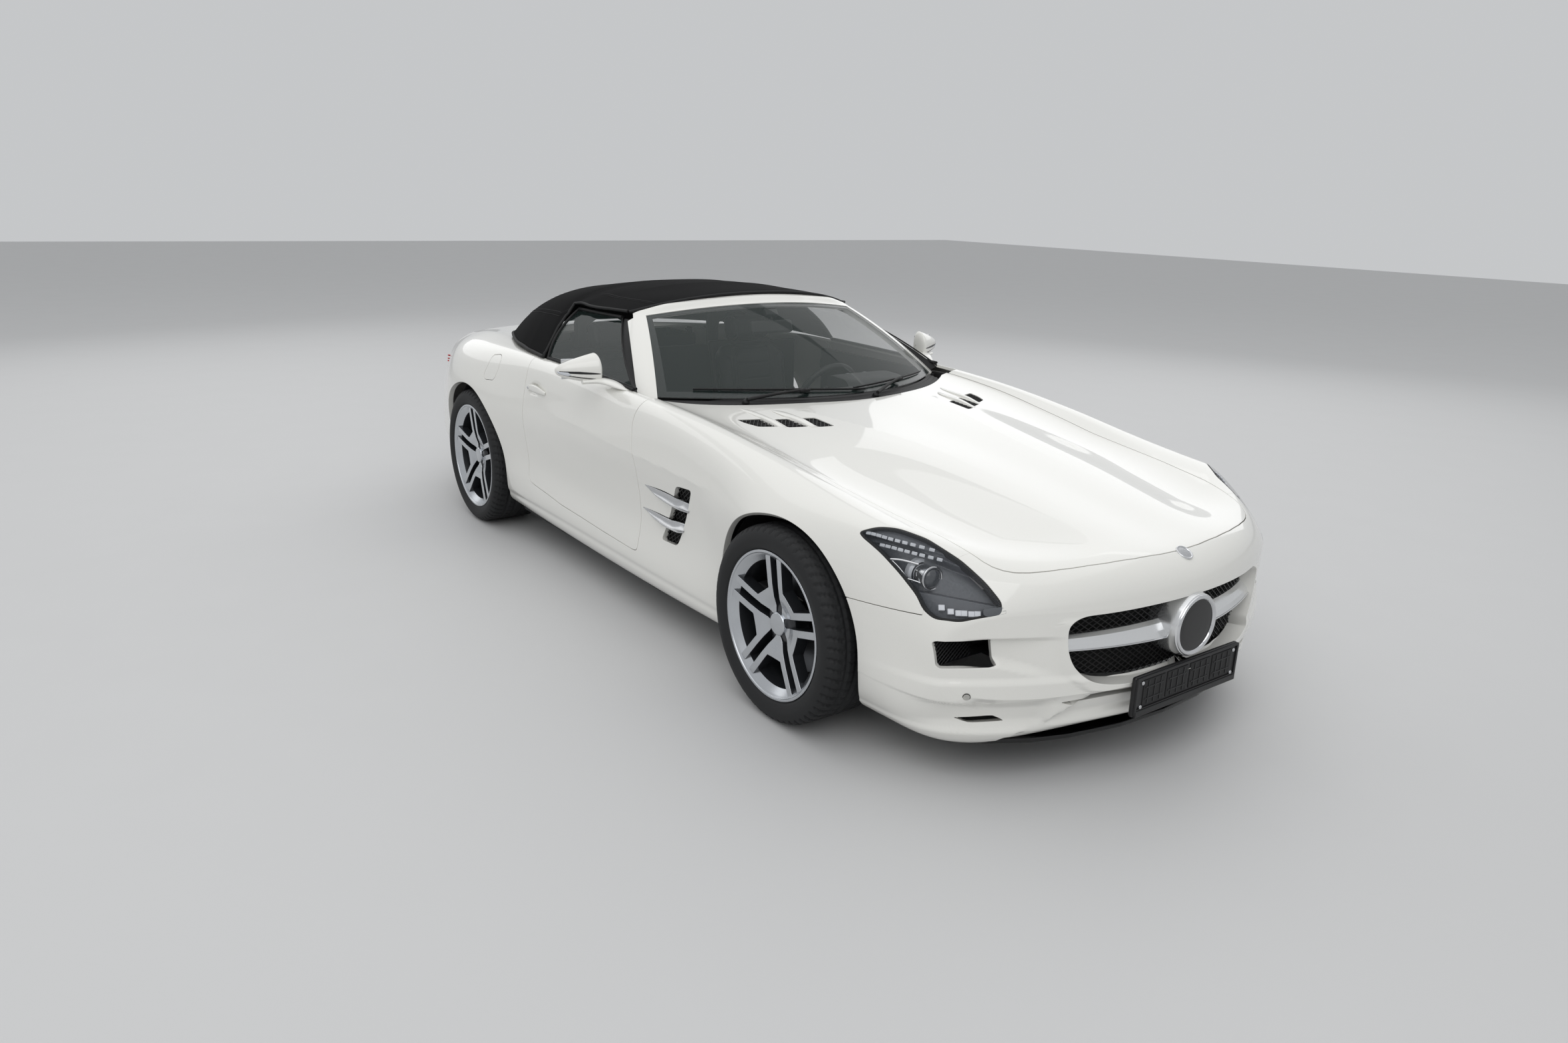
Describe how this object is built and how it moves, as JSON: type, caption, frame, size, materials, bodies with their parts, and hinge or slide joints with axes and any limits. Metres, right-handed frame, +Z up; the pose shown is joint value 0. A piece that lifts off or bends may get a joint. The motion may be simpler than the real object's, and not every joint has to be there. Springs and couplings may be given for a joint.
{
  "type": "roadster convertible",
  "caption": "White two-seat roadster with a long bonnet, closed black fabric top, twin-spoke wheels and vented front wings.",
  "frame": {"origin": "on the ground below the middle of the car", "axes": "+Z up, nose along -Y, the car's left side along +X"},
  "size_m": [2.064, 4.638, 1.2612],
  "materials": {
    "paint": "gloss",
    "black_trim": "gloss",
    "dark_trim": "matte",
    "lamp": "gloss",
    "tail_lamp": "gloss",
    "glass": "gloss",
    "fabric": "matte",
    "tyre": "matte",
    "wheel": "machined",
    "leather": "satin",
    "chrome": "polished",
    "steel": "satin",
    "iron": "matte",
    "tub": "matte"
  },
  "bodies": {
    "body": {"wheel_liners": "dark_trim", "headlamps": "lamp", "front_splitter": "black_trim", "front_bumper": "paint", "grille_mesh": "dark_trim", "grille_wing": "chrome", "wing_left": "paint", "wing_right": "paint", "side_vents": "dark_trim", "sills": "paint", "quarter_left": "paint", "quarter_right": "paint", "rear_deck": "paint", "tail_lamps": "tail_lamp", "rear_bumper": "paint", "rear_diffuser": "black_trim", "windscreen_glass": "glass", "windscreen_frame": "paint", "scuttle": "dark_trim", "soft_top": "fabric", "rear_window": "glass", "front_rails": "tub", "firewall": "tub", "rear_bulkhead": "tub", "rear_frame": "tub", "tub": "tub", "seats": "leather", "dashboard": "leather", "centre_console": "leather", "engine_block": "iron", "front_axle": "steel", "rear_axle": "steel"},
    "bonnet": {"bonnet": "paint"},
    "boot_lid": {"boot_lid": "paint"},
    "door_left": {"door_left": "paint", "side_glass_left": "glass", "mirror_left": "paint"},
    "door_right": {"door_right": "paint", "side_glass_right": "glass", "mirror_right": "paint"},
    "fuel_flap": {"fuel_flap": "paint"},
    "steering_wheel": {"steering_wheel": "leather"},
    "knuckle_left": {"knuckle_left": "steel"},
    "knuckle_right": {"knuckle_right": "steel"},
    "wheel_front_left": {"wheel_front_left": "wheel", "tyre_front_left": "tyre"},
    "wheel_front_right": {"wheel_front_right": "wheel", "tyre_front_right": "tyre"},
    "wheel_rear_left": {"wheel_rear_left": "wheel", "tyre_rear_left": "tyre"},
    "wheel_rear_right": {"wheel_rear_right": "wheel", "tyre_rear_right": "tyre"}
  },
  "joints": [
    {"name": "bonnet_hinge", "type": "hinge", "parent": "body", "child": "bonnet", "pos_m": [0, -0.36, 0.84], "axis": [-1, 0, 0], "range_deg": [0, 45]},
    {"name": "boot_hinge", "type": "hinge", "parent": "body", "child": "boot_lid", "pos_m": [0, 1.5, 0.9], "axis": [1, 0, 0], "range_deg": [0, 65]},
    {"name": "door_left_hinge", "type": "hinge", "parent": "body", "child": "door_left", "pos_m": [0.889, -0.345, 0.32], "axis": [0, 0, -1], "range_deg": [0, 65]},
    {"name": "door_right_hinge", "type": "hinge", "parent": "body", "child": "door_right", "pos_m": [-0.889, -0.345, 0.32], "axis": [0, 0, 1], "range_deg": [0, 65]},
    {"name": "fuel_flap_hinge", "type": "hinge", "parent": "body", "child": "fuel_flap", "pos_m": [-0.9112, 0.9245, 0.8286], "axis": [0.2726, 0, 0.9621], "range_deg": [0, 80]},
    {"name": "steer_right", "type": "hinge", "parent": "body", "child": "knuckle_right", "pos_m": [-0.777, -1.411, 0.334], "axis": [0, 0, 1], "range_deg": [-33, 33]},
    {"name": "steer_left", "type": "hinge", "parent": "body", "child": "knuckle_left", "pos_m": [0.777, -1.411, 0.334], "axis": [0, 0, 1], "range_deg": [-33, 33]},
    {"name": "steering_wheel_turn", "type": "hinge", "parent": "body", "child": "steering_wheel", "pos_m": [0.38, 0.015, 0.745], "axis": [0, 0.9302, 0.3671], "range_deg": [-450, 450]},
    {"name": "spin_front_left", "type": "hinge", "parent": "knuckle_left", "child": "wheel_front_left", "pos_m": [0.8255, -1.411, 0.334], "axis": [1, 0, 0], "continuous": true},
    {"name": "spin_front_right", "type": "hinge", "parent": "knuckle_right", "child": "wheel_front_right", "pos_m": [-0.8255, -1.411, 0.334], "axis": [1, 0, 0], "continuous": true},
    {"name": "spin_rear_left", "type": "hinge", "parent": "body", "child": "wheel_rear_left", "pos_m": [0.8105, 1.269, 0.3425], "axis": [1, 0, 0], "continuous": true},
    {"name": "spin_rear_right", "type": "hinge", "parent": "body", "child": "wheel_rear_right", "pos_m": [-0.8105, 1.269, 0.3425], "axis": [1, 0, 0], "continuous": true}
  ],
  "couplings": [
    {"joint": "steer_left", "follows": "steer_right", "ratio": 1},
    {"joint": "steering_wheel_turn", "follows": "steer_right", "ratio": 13.6}
  ]
}
